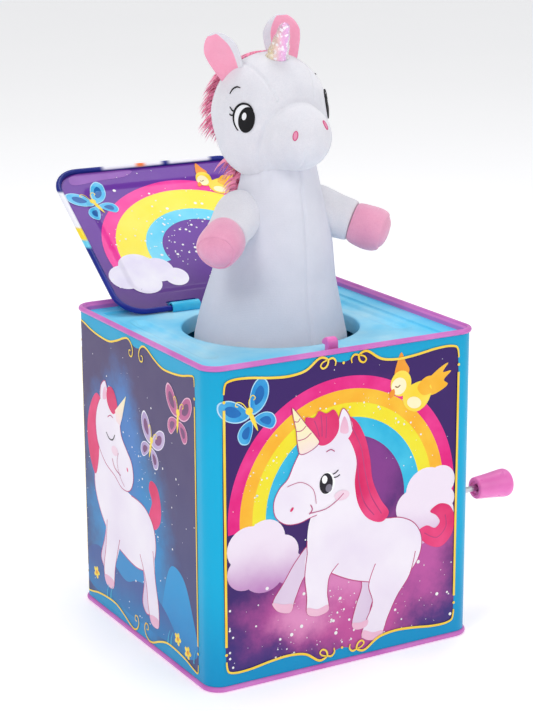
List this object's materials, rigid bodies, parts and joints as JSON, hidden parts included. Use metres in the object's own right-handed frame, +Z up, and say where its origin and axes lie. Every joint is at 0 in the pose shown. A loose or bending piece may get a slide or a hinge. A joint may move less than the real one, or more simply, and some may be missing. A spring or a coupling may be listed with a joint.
{
  "type": "jack in the box",
  "caption": "Printed tin box with a cranked music movement, latched lid and a spring-mounted plush unicorn that pops up through a round opening.",
  "frame": {"origin": "centre of the flat underside of the tin", "axes": "+Z up out of the tin, -Y towards the front face that has the latch, +X towards the crank side"},
  "size_m": [0.1828, 0.2006, 0.2933],
  "materials": {
    "printed_tin": "glossy lithographed tinplate",
    "deck_tin": "glossy light blue tinplate with a pink seam",
    "lid_tin": "glossy lithographed tinplate",
    "steel": "zinc-plated steel",
    "brass": "stamped brass",
    "pink_plastic": "moulded pink plastic",
    "white_plastic": "moulded white plastic",
    "white_plush": "short-pile white plush",
    "pink_plush": "short-pile pink plush",
    "skirt_fabric": "thin knitted polyester",
    "fur": "long-pile pink faux fur",
    "glitter_fabric": "metallised iridescent fabric"
  },
  "bodies": {
    "box": {"body_shell": "printed_tin", "base_panel": "deck_tin", "deck_panel": "deck_tin", "latch_bracket": "steel", "latch_pin": "steel", "latch_spring": "steel", "crank_bush": "white_plastic", "movement_frame": "steel", "frame_rivet_1": "steel", "frame_rivet_2": "steel", "frame_rivet_3": "steel", "comb_plate": "steel", "comb_clamp": "brass", "comb_screw_1": "brass", "comb_screw_2": "brass", "spring_seat": "steel", "main_spring": "steel", "skirt_hem_ring": "white_plastic", "puppet_skirt": "skirt_fabric"},
    "lid": {"lid_panel": "lid_tin"},
    "puppet": {"neck_disc": "white_plastic", "head": "white_plush", "horn": "glitter_fabric", "mane": "fur", "ear_left": "white_plush", "ear_right": "white_plush", "arm_left": "white_plush", "arm_right": "white_plush", "hoof_left": "pink_plush", "hoof_right": "pink_plush"},
    "latch": {"latch_lever": "steel", "latch_button": "pink_plastic"},
    "crank": {"crank_wire": "steel", "crank_pinion": "brass", "crank_collar": "steel"},
    "knob": {"crank_knob": "pink_plastic"},
    "drum": {"drum_axle": "steel", "melody_drum": "white_plastic", "drum_gear": "brass", "trip_cam": "white_plastic"}
  },
  "joints": [
    {"name": "lid_hinge", "type": "hinge", "parent": "box", "child": "lid", "pos_m": [0, 0.0478, 0.1483], "axis": [1, 0, 0], "range_deg": [0, 145.5]},
    {"name": "puppet_slide", "type": "slide", "parent": "box", "child": "puppet", "axis": [0, 0, 1], "range_m": [-0.157, 0], "stiffness_N_per_m": 25, "springref_m": 0.06, "deforming": ["main_spring", "puppet_skirt", "arm_left", "arm_right", "hoof_left", "hoof_right"]},
    {"name": "latch_tilt", "type": "hinge", "parent": "box", "child": "latch", "pos_m": [0, -0.06, 0.044], "axis": [1, 0, 0], "range_deg": [0, 2.5], "stiffness_Nm_per_rad": 0.5, "springref_deg": -5.73},
    {"name": "crank_spin", "type": "hinge", "parent": "box", "child": "crank", "pos_m": [0.07, -0.014, 0.074], "axis": [1, 0, 0], "continuous": true},
    {"name": "knob_spin", "type": "hinge", "parent": "crank", "child": "knob", "pos_m": [0.1, -0.04, 0.061], "axis": [1, 0, 0], "continuous": true},
    {"name": "drum_spin", "type": "hinge", "parent": "box", "child": "drum", "pos_m": [0.055, -0.0308, 0.074], "axis": [1, 0, 0], "continuous": true}
  ],
  "couplings": [
    {"joint": "puppet_slide", "follows": "lid_hinge", "m_per_rad": -0.0614},
    {"joint": "drum_spin", "follows": "crank_spin", "ratio": -0.33333}
  ]
}
